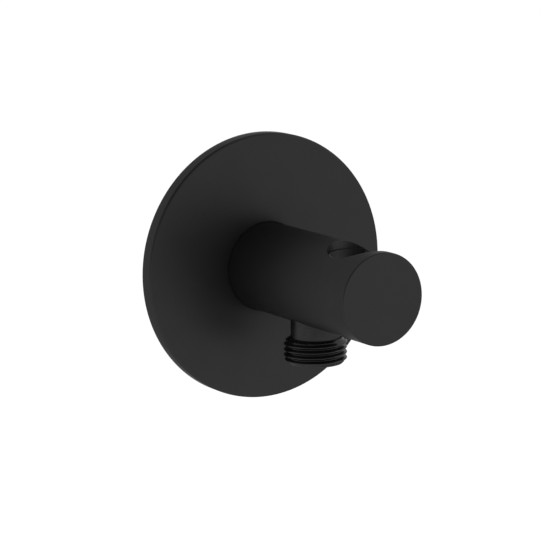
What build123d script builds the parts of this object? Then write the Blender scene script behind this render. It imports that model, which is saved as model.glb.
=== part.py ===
from build123d import *
import os
from math import radians, sqrt, tan

# Wall outlet elbow with a hand shower holder, in millimetres.
# The wall is the plane y = 0, the arm stands out of it along -Y, and +Z is up.
# Depth is the distance out from the wall, so a point at some depth has y = -depth.

# Wall flange: a turned disc with a hollow back and a collar around the arm
flange_diameter = 90.0
flange_thickness = 5.0
flange_front_wall = 2.0
flange_rim_width = 3.0
flange_edge_radius = 0.8
flange_collar_width = 4.0
flange_collar_set_back = 0.5
flange_arm_gap = 0.1

# Sponge ring behind the flange
flange_seal_width = 5.0
flange_seal_gap = 0.1

# Arm: a plain round bar
arm_diameter = 30.0
arm_reach = 75.0
arm_wall_gap = 1.0
arm_front_radius = 0.4
arm_rear_chamfer = 0.5

# G 1/2 pipe thread, drawn as a plain wall at its outside diameter
thread_diameter = 20.8
thread_core_diameter = 18.6
thread_lead_in = 0.9

# Inlet nipple: thread behind the wall plane, spigot in the arm
inlet_thread_reach = 14.0
inlet_thread_front = 0.5
inlet_relief_length = 1.0
spigot_diameter = 20.0
spigot_end = 21.4
spigot_end_chamfer = 0.6
spigot_gap = 0.05
spigot_end_gap = 0.5
spigot_bore_chamfer = 0.8
nipple_key_width = 12.0

# Set screw under the arm and the groove that it holds
screw_station = 10.5
screw_diameter = 5.0
screw_recess = 1.0
screw_point_diameter = 1.6
screw_gap = 0.05
screw_point_gap = 0.1
screw_socket_width = 2.5
screw_socket_depth = 2.2
lock_groove_depth = 1.2
lock_groove_floor = 1.0

# Two O-rings on the spigot, the inner one set back from the spigot's end
inlet_ring_set_back = 2.4
inlet_ring_spacing = 4.2
inlet_ring_groove_width = 2.3
inlet_ring_groove_depth = 1.35

# O-ring in the flange's bore
flange_ring_station = 2.6
flange_ring_groove_width = 1.8
flange_ring_groove_depth = 1.1

# Water way in the arm
water_diameter = 12.0
water_end_overrun = 3.5
drill_point_angle = 118.0

# Outlet nipple: spigot and neck in the arm, hose thread below it
neck_diameter = 16.2
neck_gap = 0.05
neck_engagement = 5.5
neck_drop = 3.9
outlet_spigot_diameter = 12.0
outlet_spigot_length = 3.5
outlet_bore_diameter = 8.0
outlet_thread_length = 8.5
outlet_key_width = 10.0
outlet_key_depth = 8.0
outlet_ring_groove_width = 1.7
outlet_ring_groove_depth = 1.0
outlet_ring_set_back = 0.9

# Holder hole through the arm, offset towards its hose slot
holder_set_back = 15.0
holder_offset = 2.6
holder_hole_diameter = 23.2
holder_ledge_width = 1.2
holder_ledge_thickness = 3.5
hose_slot_width = 15.0
slot_corner_radius = 0.8

# Plastic liner in the holder hole, with a tapered bore
liner_top_set_back = 3.0
liner_top_bore = 21.6
liner_bottom_bore = 19.6
liner_gap = 0.05
liner_edge_chamfer = 0.4
liner_slot_set_back = 0.3
liner_skin_set_back = 0.5

# Non-return valve in the inlet nipple, opening away from the wall
valve_diameter = 15.0
valve_gap = 0.05
valve_start = 3.0
valve_end_gap = 0.3
valve_inlet_diameter = 9.2
valve_chamber_diameter = 12.6
valve_seat_start = 7.5
valve_ring_station = 5.5
valve_ring_groove_width = 1.8
valve_ring_groove_depth = 1.0
guide_ring_diameter = 13.5
guide_ring_width = 1.2
guide_ring_length = 2.6
guide_gap = 0.05
guide_start = 17.6
guide_hub_diameter = 5.0
guide_hub_length = 3.2
guide_spoke_width = 1.4
guide_spoke_count = 3
stem_diameter = 2.4
stem_gap = 0.12
stem_end_overrun = 0.6
lip_seal_diameter = 11.2
lip_seal_thickness = 1.0
lip_seal_bevel = 0.5
lip_seal_seat_gap = 0.1
poppet_head_diameter = 10.4
poppet_head_thickness = 1.0
poppet_core_diameter = 5.2
poppet_cap_diameter = 7.0
poppet_cap_thickness = 0.8
spring_mean_diameter = 4.0
spring_wire = 0.4
spring_turns = 5.5
spring_gap = 0.05

# Rubber rings lie squeezed in their grooves, with this much air at each wall
ring_gap = 0.03
ring_corner_share = 0.45

# Sizes that follow from the ones above
flange_radius = flange_diameter / 2
arm_radius = arm_diameter / 2
thread_radius = thread_diameter / 2
thread_core_radius = thread_core_diameter / 2
spigot_radius = spigot_diameter / 2
spigot_bore_radius = spigot_radius + spigot_gap
spigot_bore_end = spigot_end + spigot_end_gap
water_radius = water_diameter / 2
flange_bore_radius = arm_radius + flange_arm_gap
neck_radius = neck_diameter / 2
outlet_spigot_radius = outlet_spigot_diameter / 2
holder_radius = holder_hole_diameter / 2
holder_station = arm_reach - holder_set_back
ledge_height = holder_ledge_thickness - arm_radius
liner_top = arm_radius - liner_top_set_back
# The outlet is drilled midway between the spigot's bore and the holder's hole
outlet_station = (spigot_bore_end + holder_station - holder_radius) / 2
neck_seat_height = neck_engagement - arm_radius
outlet_thread_top = -arm_radius - neck_drop
outlet_thread_bottom = outlet_thread_top - outlet_thread_length
inner_ring_station = spigot_end - inlet_ring_set_back
outer_ring_station = inner_ring_station - inlet_ring_spacing
valve_radius = valve_diameter / 2
nipple_bore_radius = valve_radius + valve_gap
valve_end = spigot_bore_end - valve_end_gap
valve_inlet_radius = valve_inlet_diameter / 2
valve_chamber_radius = valve_chamber_diameter / 2
guide_ring_radius = guide_ring_diameter / 2
stem_radius = stem_diameter / 2

# The lip seal's bevel lies parallel to the housing's 45 degree seat, a seat gap away from it
lip_seal_radius = lip_seal_diameter / 2
lip_seal_flat_radius = lip_seal_radius - lip_seal_bevel
lip_seal_front = valve_seat_start + lip_seal_flat_radius - valve_inlet_radius + lip_seal_seat_gap * sqrt(2)
lip_seal_back = lip_seal_front + lip_seal_thickness
poppet_back = lip_seal_back + poppet_head_thickness
spring_start = poppet_back + spring_gap
spring_end = guide_start - spring_gap


def on_arm_axis(outline):
    """Turns an outline of (radius, depth) corners about the arm's axis."""
    corners = [(radius, -depth) for radius, depth in outline]
    return revolve(make_face(Polyline(*corners, close=True)), Axis.Y)


def upright(outline, depth, offset=0.0):
    """Turns an outline of (radius, height) corners about an upright axis that crosses the arm."""
    face = Plane.XZ * make_face(Polyline(*outline, close=True))
    return Pos(offset, -depth, 0) * revolve(face, Axis.Z)


def ring_section(inner_radius, outer_radius, low, high):
    """Section of a squeezed rubber ring, with air left at its groove's walls."""
    width = outer_radius - inner_radius - 2 * ring_gap
    height = high - low - 2 * ring_gap
    place = Pos((inner_radius + outer_radius) / 2, (low + high) / 2)
    return place * RectangleRounded(width, height, ring_corner_share * min(width, height))


def rubber_ring_on_arm_axis(inner_radius, outer_radius, station, groove_width):
    """Rubber ring about the arm's axis, centred at a depth."""
    half = groove_width / 2
    return revolve(ring_section(inner_radius, outer_radius, -station - half, -station + half), Axis.Y)


def hexagon_bar(width, length):
    """Six-sided bar across flats, standing on the plane z = 0."""
    return extrude(RegularPolygon(width / 2, 6, major_radius=False), length)


def groove(radius, depth, station, width):
    """Square groove for a rubber ring, cut inwards from a radius or, with a negative depth, outwards."""
    near = station - width / 2
    far = station + width / 2
    return on_arm_axis([(radius - depth, near), (radius, near), (radius, far), (radius - depth, far)])


def make_wall_flange():
    """Disc with a rounded front edge, a recess behind it and a collar around the arm."""
    recess_floor = flange_thickness - flange_front_wall
    recess_radius = flange_radius - flange_rim_width
    collar_radius = flange_bore_radius + flange_collar_width
    flange = on_arm_axis([
        (flange_bore_radius, flange_collar_set_back),
        (collar_radius, flange_collar_set_back),
        (collar_radius, recess_floor),
        (recess_radius, recess_floor),
        (recess_radius, 0),
        (flange_radius, 0),
        (flange_radius, flange_thickness),
        (flange_bore_radius, flange_thickness),
    ])
    front_edges = flange.edges().filter_by(GeomType.CIRCLE).group_by(Axis.Y)[0]
    flange = fillet(front_edges.sort_by(SortBy.RADIUS)[-1], flange_edge_radius)
    return flange - groove(
        flange_bore_radius, -flange_ring_groove_depth, flange_ring_station, flange_ring_groove_width
    )


def make_flange_seal():
    """Sponge ring in the flange's recess, pressed flush with the rim by the wall."""
    outer = flange_radius - flange_rim_width - flange_seal_gap
    inner = outer - flange_seal_width
    floor = flange_thickness - flange_front_wall
    return on_arm_axis([(inner, 0), (outer, 0), (outer, floor), (inner, floor)])


def make_flange_o_ring():
    """Ring in the flange's bore that grips the arm."""
    outer = flange_bore_radius + flange_ring_groove_depth
    return rubber_ring_on_arm_axis(arm_radius, outer, flange_ring_station, flange_ring_groove_width)


def make_arm_body():
    """Round bar with its water way, outlet port, screw hole, holder hole and hose slot."""
    arm = on_arm_axis([
        (0, arm_wall_gap),
        (arm_radius - arm_rear_chamfer, arm_wall_gap),
        (arm_radius, arm_wall_gap + arm_rear_chamfer),
        (arm_radius, arm_reach),
        (0, arm_reach),
    ])
    arm = fillet(arm.edges().filter_by(GeomType.CIRCLE).sort_by(Axis.Y)[0], arm_front_radius)
    arm -= water_way()
    arm -= outlet_port()
    arm -= screw_hole()
    return arm - holder_hole()


def water_way():
    """Spigot bore with a chamfered mouth, and the drilled way on to the outlet."""
    drilled_end = outlet_station + water_end_overrun
    drill_point = water_radius / tan(radians(drill_point_angle / 2))
    return on_arm_axis([
        (0, arm_wall_gap),
        (spigot_bore_radius + spigot_bore_chamfer, arm_wall_gap),
        (spigot_bore_radius, arm_wall_gap + spigot_bore_chamfer),
        (spigot_bore_radius, spigot_bore_end),
        (water_radius, spigot_bore_end),
        (water_radius, drilled_end),
        (0, drilled_end + drill_point),
    ])


def outlet_port():
    """Stepped hole from below: the neck's bore, and the spigot's bore up into the water way."""
    neck_bore_radius = neck_radius + neck_gap
    spigot_hole_radius = outlet_spigot_radius + neck_gap
    return upright([
        (0, 0),
        (spigot_hole_radius, 0),
        (spigot_hole_radius, neck_seat_height),
        (neck_bore_radius, neck_seat_height),
        (neck_bore_radius, -arm_radius),
        (0, -arm_radius),
    ], outlet_station)


def screw_hole():
    """Hole for the set screw, from below into the spigot bore."""
    radius = screw_diameter / 2 + screw_gap
    inside = lock_groove_depth - spigot_radius
    return upright([(0, inside), (radius, inside), (radius, -arm_radius), (0, -arm_radius)], screw_station)


def keyhole_plan(radius):
    """Plan of the holder's hole with its hose slot, and rounded corners where the two meet."""
    slot = Rectangle(arm_diameter, hose_slot_width, align=(Align.MIN, Align.CENTER))
    plan = Circle(radius) + slot
    meeting = sqrt(radius ** 2 - (hose_slot_width / 2) ** 2)
    corners = [corner for corner in plan.vertices() if abs(corner.X - meeting) < hose_slot_width / 100]
    return fillet(corners, slot_corner_radius)


def holder_hole():
    """Keyhole through the arm, a little smaller below the ledge that the liner rests on."""
    upper = Pos(0, 0, ledge_height) * extrude(keyhole_plan(holder_radius), arm_radius - ledge_height)
    lower = Pos(0, 0, -arm_radius) * extrude(
        keyhole_plan(holder_radius - holder_ledge_width), holder_ledge_thickness
    )
    return Pos(holder_offset, -holder_station, 0) * (upper + lower)


def make_holder_liner():
    """Liner with a tapered bore, open at the hose slot and trimmed inside the arm's skin."""
    outer = holder_radius - liner_gap
    liner = upright([
        (liner_bottom_bore / 2, ledge_height),
        (outer, ledge_height),
        (outer, liner_top - liner_edge_chamfer),
        (outer - liner_edge_chamfer, liner_top),
        (liner_top_bore / 2, liner_top),
    ], holder_station, holder_offset)
    skin_radius = arm_radius - liner_skin_set_back
    liner &= on_arm_axis([(0, 0), (skin_radius, 0), (skin_radius, arm_reach), (0, arm_reach)])
    slot_width = hose_slot_width + 2 * (slot_corner_radius + liner_slot_set_back)
    slot = Pos(holder_offset, -holder_station, 0) * Box(
        arm_diameter, slot_width, arm_diameter, align=(Align.MIN, Align.CENTER, Align.CENTER)
    )
    return liner - slot


def make_inlet_nipple():
    """Thread behind the wall plane, relief, and a spigot with a locking groove and two ring grooves."""
    spigot_start = inlet_thread_front + inlet_relief_length
    groove_floor_radius = spigot_radius - lock_groove_depth
    groove_half_floor = lock_groove_floor / 2
    groove_half_mouth = groove_half_floor + lock_groove_depth
    nipple = on_arm_axis([
        (0, -inlet_thread_reach),
        (thread_radius - thread_lead_in, -inlet_thread_reach),
        (thread_radius, thread_lead_in - inlet_thread_reach),
        (thread_radius, inlet_thread_front),
        (thread_core_radius, inlet_thread_front),
        (thread_core_radius, spigot_start),
        (spigot_radius, spigot_start),
        (spigot_radius, screw_station - groove_half_mouth),
        (groove_floor_radius, screw_station - groove_half_floor),
        (groove_floor_radius, screw_station + groove_half_floor),
        (spigot_radius, screw_station + groove_half_mouth),
        (spigot_radius, spigot_end - spigot_end_chamfer),
        (spigot_radius - spigot_end_chamfer, spigot_end),
        (0, spigot_end),
    ])
    nipple -= on_arm_axis([
        (0, valve_start), (nipple_bore_radius, valve_start), (nipple_bore_radius, spigot_end), (0, spigot_end)
    ])
    key_way = hexagon_bar(nipple_key_width, inlet_thread_reach + valve_start)
    nipple -= Pos(0, inlet_thread_reach, 0) * Rot(90, 0, 0) * key_way
    for station in (outer_ring_station, inner_ring_station):
        nipple -= groove(spigot_radius, inlet_ring_groove_depth, station, inlet_ring_groove_width)
    return nipple


def make_inlet_o_ring(station):
    """Ring between the nipple's spigot and the arm's bore."""
    inner = spigot_radius - inlet_ring_groove_depth
    return rubber_ring_on_arm_axis(inner, spigot_bore_radius, station, inlet_ring_groove_width)


def make_locking_screw():
    """Set screw with a cone point in the spigot's groove and a six-sided socket."""
    radius = screw_diameter / 2
    point_radius = screw_point_diameter / 2
    # The point's 45 degree cone stays a point gap away from the groove's 45 degree walls
    wedged = max(point_radius - lock_groove_floor / 2, 0)
    tip = lock_groove_depth - spigot_radius - wedged - screw_point_gap * sqrt(2)
    foot = screw_recess - arm_radius
    screw = upright([
        (0, tip),
        (point_radius, tip),
        (radius, tip + point_radius - radius),
        (radius, foot),
        (0, foot),
    ], screw_station)
    return screw - Pos(0, -screw_station, foot) * hexagon_bar(screw_socket_width, screw_socket_depth)


def make_outlet_nipple():
    """Spigot with a ring groove, neck, hose thread, water bore and key socket."""
    spigot_top = neck_seat_height + outlet_spigot_length
    ring_top = spigot_top - outlet_ring_set_back
    ring_bottom = ring_top - outlet_ring_groove_width
    ring_floor_radius = outlet_spigot_radius - outlet_ring_groove_depth
    run_out = thread_radius - thread_core_radius
    nipple = upright([
        (outlet_bore_diameter / 2, spigot_top),
        (outlet_spigot_radius, spigot_top),
        (outlet_spigot_radius, ring_top),
        (ring_floor_radius, ring_top),
        (ring_floor_radius, ring_bottom),
        (outlet_spigot_radius, ring_bottom),
        (outlet_spigot_radius, neck_seat_height),
        (neck_radius, neck_seat_height),
        (neck_radius, outlet_thread_top),
        (thread_core_radius, outlet_thread_top),
        (thread_radius, outlet_thread_top - run_out),
        (thread_radius, outlet_thread_bottom + thread_lead_in),
        (thread_radius - thread_lead_in, outlet_thread_bottom),
        (outlet_bore_diameter / 2, outlet_thread_bottom),
    ], outlet_station)
    socket = hexagon_bar(outlet_key_width, outlet_key_depth)
    return nipple - Pos(0, -outlet_station, outlet_thread_bottom) * socket


def make_outlet_o_ring():
    """Ring between the outlet nipple's spigot and its bore in the arm."""
    high = neck_seat_height + outlet_spigot_length - outlet_ring_set_back
    section = ring_section(
        outlet_spigot_radius - outlet_ring_groove_depth,
        outlet_spigot_radius + neck_gap,
        high - outlet_ring_groove_width,
        high,
    )
    return Pos(0, -outlet_station, 0) * revolve(Plane.XZ * section, Axis.Z)


def make_valve_housing():
    """Tube with a narrow inlet, a 45 degree seat, a chamber and a step for the guide."""
    seat_end = valve_seat_start + valve_chamber_radius - valve_inlet_radius
    guide_bore_radius = guide_ring_radius + guide_gap
    housing = on_arm_axis([
        (valve_inlet_radius, valve_start),
        (valve_radius, valve_start),
        (valve_radius, valve_end),
        (guide_bore_radius, valve_end),
        (guide_bore_radius, guide_start),
        (valve_chamber_radius, guide_start),
        (valve_chamber_radius, seat_end),
        (valve_inlet_radius, valve_seat_start),
    ])
    return housing - groove(valve_radius, valve_ring_groove_depth, valve_ring_station, valve_ring_groove_width)


def make_valve_guide():
    """Ring seated on the housing's step, with spokes to a hub that carries the stem."""
    inner = guide_ring_radius - guide_ring_width
    ring_end = guide_start + guide_ring_length
    hub_radius = guide_hub_diameter / 2
    hub_bore = stem_radius + stem_gap
    guide = on_arm_axis([
        (inner, guide_start), (guide_ring_radius, guide_start), (guide_ring_radius, ring_end), (inner, ring_end)
    ])
    guide += on_arm_axis([
        (hub_bore, guide_start),
        (hub_radius, guide_start),
        (hub_radius, guide_start + guide_hub_length),
        (hub_bore, guide_start + guide_hub_length),
    ])
    # Each spoke runs from the middle of the hub's wall to the middle of the ring's
    spoke_start = (hub_bore + hub_radius) / 2
    spoke_end = (inner + guide_ring_radius) / 2
    spoke = Pos(spoke_start, -guide_start, 0) * Box(
        spoke_end - spoke_start,
        guide_ring_length,
        guide_spoke_width,
        align=(Align.MIN, Align.MAX, Align.CENTER),
    )
    for number in range(guide_spoke_count):
        guide += Rot(0, number * 360 / guide_spoke_count, 0) * spoke
    return guide


def make_valve_poppet():
    """Cap and core that hold the lip seal, head behind it, and the stem."""
    core_radius = poppet_core_diameter / 2
    cap_radius = poppet_cap_diameter / 2
    head_radius = poppet_head_diameter / 2
    stem_end = guide_start + guide_hub_length + stem_end_overrun
    return on_arm_axis([
        (0, lip_seal_front - poppet_cap_thickness),
        (cap_radius - poppet_cap_thickness / 2, lip_seal_front - poppet_cap_thickness),
        (cap_radius, lip_seal_front - poppet_cap_thickness / 2),
        (cap_radius, lip_seal_front),
        (core_radius, lip_seal_front),
        (core_radius, lip_seal_back),
        (head_radius, lip_seal_back),
        (head_radius, poppet_back),
        (stem_radius, poppet_back),
        (stem_radius, stem_end),
        (0, stem_end),
    ])


def make_valve_lip_seal():
    """Rubber ring clamped on the poppet, bevelled to meet the housing's seat."""
    bore = poppet_core_diameter / 2
    return on_arm_axis([
        (bore, lip_seal_front),
        (lip_seal_flat_radius, lip_seal_front),
        (lip_seal_radius, lip_seal_front + lip_seal_bevel),
        (lip_seal_radius, lip_seal_back),
        (bore, lip_seal_back),
    ])


def make_valve_spring():
    """Coil spring around the stem, between the poppet's head and the guide's hub."""
    height = spring_end - spring_start - spring_wire
    path = Helix(height / spring_turns, height, spring_mean_diameter / 2)
    section = Plane(origin=path @ 0, z_dir=path % 0) * Circle(spring_wire / 2)
    coil = sweep(section, path, is_frenet=True)
    return Pos(0, -spring_start - spring_wire / 2, 0) * Rot(90, 0, 0) * coil


def make_valve_o_ring():
    """Ring between the valve's housing and the inlet nipple's bore."""
    inner = valve_radius - valve_ring_groove_depth
    return rubber_ring_on_arm_axis(inner, nipple_bore_radius, valve_ring_station, valve_ring_groove_width)


def make_pieces():
    """Every piece of the fitting, by its name."""
    return {
        "arm_body": make_arm_body(),
        "wall_flange": make_wall_flange(),
        "flange_seal": make_flange_seal(),
        "flange_o_ring": make_flange_o_ring(),
        "inlet_nipple": make_inlet_nipple(),
        "inlet_o_ring_outer": make_inlet_o_ring(outer_ring_station),
        "inlet_o_ring_inner": make_inlet_o_ring(inner_ring_station),
        "locking_screw": make_locking_screw(),
        "outlet_nipple": make_outlet_nipple(),
        "outlet_o_ring": make_outlet_o_ring(),
        "holder_liner": make_holder_liner(),
        "valve_housing": make_valve_housing(),
        "valve_guide": make_valve_guide(),
        "valve_poppet": make_valve_poppet(),
        "valve_lip_seal": make_valve_lip_seal(),
        "valve_spring": make_valve_spring(),
        "valve_o_ring": make_valve_o_ring(),
    }


os.makedirs("parts", exist_ok=True)
for name, piece in make_pieces().items():
    export_step(piece, f"parts/{name}.step")
    print(name, round(piece.volume, 1), "mm3")
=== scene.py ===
"""Dresses the wall outlet elbow with its threads, broken edges and finishes, in a plain studio.

Everything is in metres, in the part's own frame: the wall is the plane y = 0, the arm stands out of it along -Y and
+Z is up. A turned piece is built about a local z axis. On the arm's axis, local z is the distance out of the wall.
"""

import logging
import math
from dataclasses import dataclass
from enum import Enum
from typing import Callable, Sequence

import bmesh
import bpy
from mathutils import Matrix, Vector


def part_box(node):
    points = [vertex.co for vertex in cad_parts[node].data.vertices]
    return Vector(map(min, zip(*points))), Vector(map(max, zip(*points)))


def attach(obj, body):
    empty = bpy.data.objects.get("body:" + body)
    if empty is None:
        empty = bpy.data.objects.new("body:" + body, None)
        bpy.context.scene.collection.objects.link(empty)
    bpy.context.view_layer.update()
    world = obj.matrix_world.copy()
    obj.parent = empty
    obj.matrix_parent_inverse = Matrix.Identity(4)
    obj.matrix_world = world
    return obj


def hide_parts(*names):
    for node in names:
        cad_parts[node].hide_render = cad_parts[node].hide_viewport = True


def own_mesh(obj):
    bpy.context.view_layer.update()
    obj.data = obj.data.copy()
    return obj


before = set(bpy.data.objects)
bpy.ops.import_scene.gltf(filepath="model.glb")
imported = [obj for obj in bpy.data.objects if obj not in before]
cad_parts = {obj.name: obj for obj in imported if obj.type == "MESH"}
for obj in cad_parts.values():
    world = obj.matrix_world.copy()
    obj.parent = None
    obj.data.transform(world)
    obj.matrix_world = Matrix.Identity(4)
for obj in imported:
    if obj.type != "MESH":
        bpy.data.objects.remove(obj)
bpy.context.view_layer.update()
log = logging.getLogger("wall_outlet_elbow")

MM = 0.001
MERGE_DISTANCE = 0.0002 * MM
WHITE = (1.0, 1.0, 1.0, 1.0)
COAT_SHADES = ((0.03,) * 3, (0.036,) * 3)
# Body of every piece that is built here. The pieces that move with the poppet are kept CAD nodes.
FITTING = "fitting"

Triple = tuple[float, float, float]
# Corners of a turned outline: each a radius, a height and, where the corner is round, the rounding's radius.
Outline = list[tuple[float, ...]]
Socket = bpy.types.NodeSocket


class Slot(Enum):
    """Finishes that the record names."""

    BLACK_COAT = "black_coat"
    BLACK_THREAD = "black_thread"
    BARE_BRASS = "bare_brass"
    SCREW_STEEL = "screw_steel"
    SPRING_STEEL = "spring_steel"
    LINER_PLASTIC = "liner_plastic"
    VALVE_PLASTIC = "valve_plastic"
    POPPET_PLASTIC = "poppet_plastic"
    SEAL_RUBBER = "seal_rubber"
    SPONGE_RUBBER = "sponge_rubber"


class Stand(Enum):
    """How a turned piece's own axis lies in the part's frame."""

    OUT_OF_WALL = "out of the wall"
    UPRIGHT = "upright"

    def place(self, station: float = 0.0) -> Matrix:
        """Matrix from a turned piece's local frame to the part's frame.

        Args:
            station: distance of an upright axis out of the wall.

        Returns:
            The 4x4 matrix.
        """
        if self is Stand.OUT_OF_WALL:
            return Matrix.Rotation(math.radians(90), 4, "X")
        return Matrix.Translation((0, -station, 0))


class Nodes:
    """Node tree, with short calls for the nodes that the finishes and the studio share."""

    def __init__(self, tree: bpy.types.NodeTree) -> None:
        """Keeps the tree that the calls add to."""
        self.tree = tree

    def add(self, kind: str, sockets: dict[str | int, object] | None = None, **settings: object) -> bpy.types.Node:
        """Adds a node.

        Args:
            kind: type of the node, without its prefix.
            sockets: output to link or value to set for some of its inputs, by their names or numbers.
            settings: attributes to set on it.

        Returns:
            The new node.
        """
        node = self.tree.nodes.new("ShaderNode" + kind)
        for key, value in settings.items():
            setattr(node, key, value)
        self.feed(node, sockets or {})
        return node

    def feed(self, node: bpy.types.Node, sockets: dict[str | int, object]) -> None:
        """Links outputs to a node's inputs, and sets values on them.

        Args:
            node: the node.
            sockets: output or value for each input, by the input's name or number.
        """
        for key, source in sockets.items():
            if isinstance(source, Socket):
                self.tree.links.new(source, node.inputs[key])
            else:
                node.inputs[key].default_value = source

    def combine(self, operation: str, first: Socket, second: Socket | float = 0.0) -> Socket:
        """Result of an operation on one or two values."""
        return self.add("Math", {0: first, 1: second}, operation=operation).outputs["Value"]

    def ramp(
        self, value: Socket, low: Socket | float, high: Socket | float, start: float = 0.0, end: float = 1.0,
        **settings: object,
    ) -> Socket:
        """Maps a value from one range to another, and holds it there at the ends.

        Args:
            value: the value.
            low: result at the range's start.
            high: result at its end.
            start: value at the range's start.
            end: value at its end.
            settings: attributes to set on the node.

        Returns:
            The mapped value.
        """
        sockets = {"Value": value, "From Min": start, "From Max": end, "To Min": low, "To Max": high}
        return self.add("MapRange", sockets, **settings).outputs["Result"]

    def seen_by(self, *kinds: str) -> Socket:
        """Value of 1 for rays of any of some kinds, and 0 for others.

        Args:
            kinds: the kinds, in Light Path's words.

        Returns:
            The value.
        """
        rays = self.add("LightPath").outputs
        share = rays[f"Is {kinds[0]} Ray"]
        for kind in kinds[1:]:
            share = self.combine("MAXIMUM", share, rays[f"Is {kind} Ray"])
        return share


class FinishNodes(Nodes):
    """Nodes of a piece's material, around its Principled shader."""

    noise_spread = 0.2

    def __init__(self, name: str) -> None:
        """Starts the material.

        Args:
            name: name of the material.
        """
        self.material = bpy.data.materials.new(name)
        self.material.use_nodes = True
        super().__init__(self.material.node_tree)
        self.shader = self.tree.nodes["Principled BSDF"]
        self.place = self.add("TexCoord").outputs["Object"]

    def noise(self, size: float, detail: float, along: Triple | None = None) -> Socket:
        """Noise of about 0.5 on average, whose features have about a given size.

        Args:
            size: size of the features, in metres.
            detail: octaves of finer noise.
            along: factor on each axis, for features that are drawn out.

        Returns:
            The noise's value.
        """
        vector = self.place
        if along is not None:
            vector = self.add("Mapping", {"Vector": vector, "Scale": along}).outputs["Vector"]
        return self.add("TexNoise", {"Scale": 1 / size, "Detail": detail, "Vector": vector}).outputs["Fac"]

    def spread(self, noise: Socket, low: float = 0.0, high: float = 1.0) -> Socket:
        """Maps noise to a range, over the values that it mostly has."""
        return self.ramp(noise, low, high, 0.5 - self.noise_spread, 0.5 + self.noise_spread)

    def blend(self, share: Socket, first: Triple, second: Triple) -> Socket:
        """Colour between a first and a second one, by a share."""
        return self.add("Mix", {0: share, 6: (*first, 1), 7: (*second, 1)}, data_type="RGBA").outputs[2]

    def bump(self, height: Socket, distance: float, under: Socket | None = None) -> Socket:
        """Fine relief on the surface.

        Args:
            height: value that raises the surface.
            distance: rise of the surface from 0 to 1, in metres.
            under: normal of a coarser relief below this one.

        Returns:
            The relief's normal.
        """
        sockets = {"Height": height, "Distance": distance, "Strength": 1.0}
        if under is not None:
            sockets["Normal"] = under
        return self.add("Bump", sockets).outputs["Normal"]


@dataclass(frozen=True, kw_only=True)
class Finish:
    """Surface of two shades with a fine grain, whose gloss drifts in soft clouds."""

    shades: tuple[Triple, Triple]
    shades_follow_grain: bool = False
    roughness: float
    roughness_change: float
    cloud: float
    cloud_detail: float = 2.0
    grain: float
    grain_height: float
    grain_detail: float = 2.0
    grain_along: Triple | None = None
    metallic: float = 0.0
    specular: float = 0.5

    def material(self, name: str) -> bpy.types.Material:
        """Makes the finish's material.

        Args:
            name: name of the material.

        Returns:
            The new material.
        """
        nodes = FinishNodes(name)
        cloud = nodes.noise(self.cloud, self.cloud_detail)
        grain, normal = self.relief(nodes)
        low, high = self.roughness - self.roughness_change, self.roughness + self.roughness_change
        nodes.feed(nodes.shader, {
            "Base Color": nodes.blend(nodes.spread(grain if self.shades_follow_grain else cloud), *self.shades),
            "Metallic": self.metallic,
            "Specular IOR Level": self.specular,
            "Normal": normal,
            **self.gloss(nodes, nodes.spread(cloud, low, high)),
        })
        return nodes.material

    def relief(self, nodes: FinishNodes, under: Socket | None = None) -> tuple[Socket, Socket]:
        """Height and normal of the fine grain, over the normal of a coarser relief if there is one."""
        grain = nodes.noise(self.grain, self.grain_detail, self.grain_along)
        return grain, nodes.bump(grain, self.grain_height, under)

    def gloss(self, nodes: FinishNodes, roughness: Socket) -> dict[str | int, object]:
        """Inputs of the shader that set its gloss, from the clouds' roughness."""
        return {"Roughness": roughness}


@dataclass(frozen=True, kw_only=True)
class PowderCoat(Finish):
    """Matt black coat, baked on: fine grain over a soft orange peel, dull at glancing angles as a matt film is."""

    shades: tuple[Triple, Triple] = COAT_SHADES
    shades_follow_grain: bool = True
    roughness: float = 0.42
    roughness_change: float = 0.03
    cloud: float = 9 * MM
    grain: float = 0.16 * MM
    grain_height: float = 0.004 * MM
    grain_detail: float = 3.0
    metallic: float = 0.8
    specular: float = 0.3
    glancing_gloss: float = 0.4
    peel: float = 1.1 * MM
    peel_height: float = 0.004 * MM
    peel_detail: float = 2.0

    def relief(self, nodes: FinishNodes, under: Socket | None = None) -> tuple[Socket, Socket]:
        """Height of the grain, and normal of the grain over the peel."""
        peel = nodes.noise(self.peel, self.peel_detail)
        return super().relief(nodes, nodes.bump(peel, self.peel_height, under))

    def gloss(self, nodes: FinishNodes, roughness: Socket) -> dict[str | int, object]:
        """Roughness of the clouds, with the glancing gloss held down."""
        return {"Roughness": roughness, "Specular Tint": (*(self.glancing_gloss,) * 3, 1)}


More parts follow.
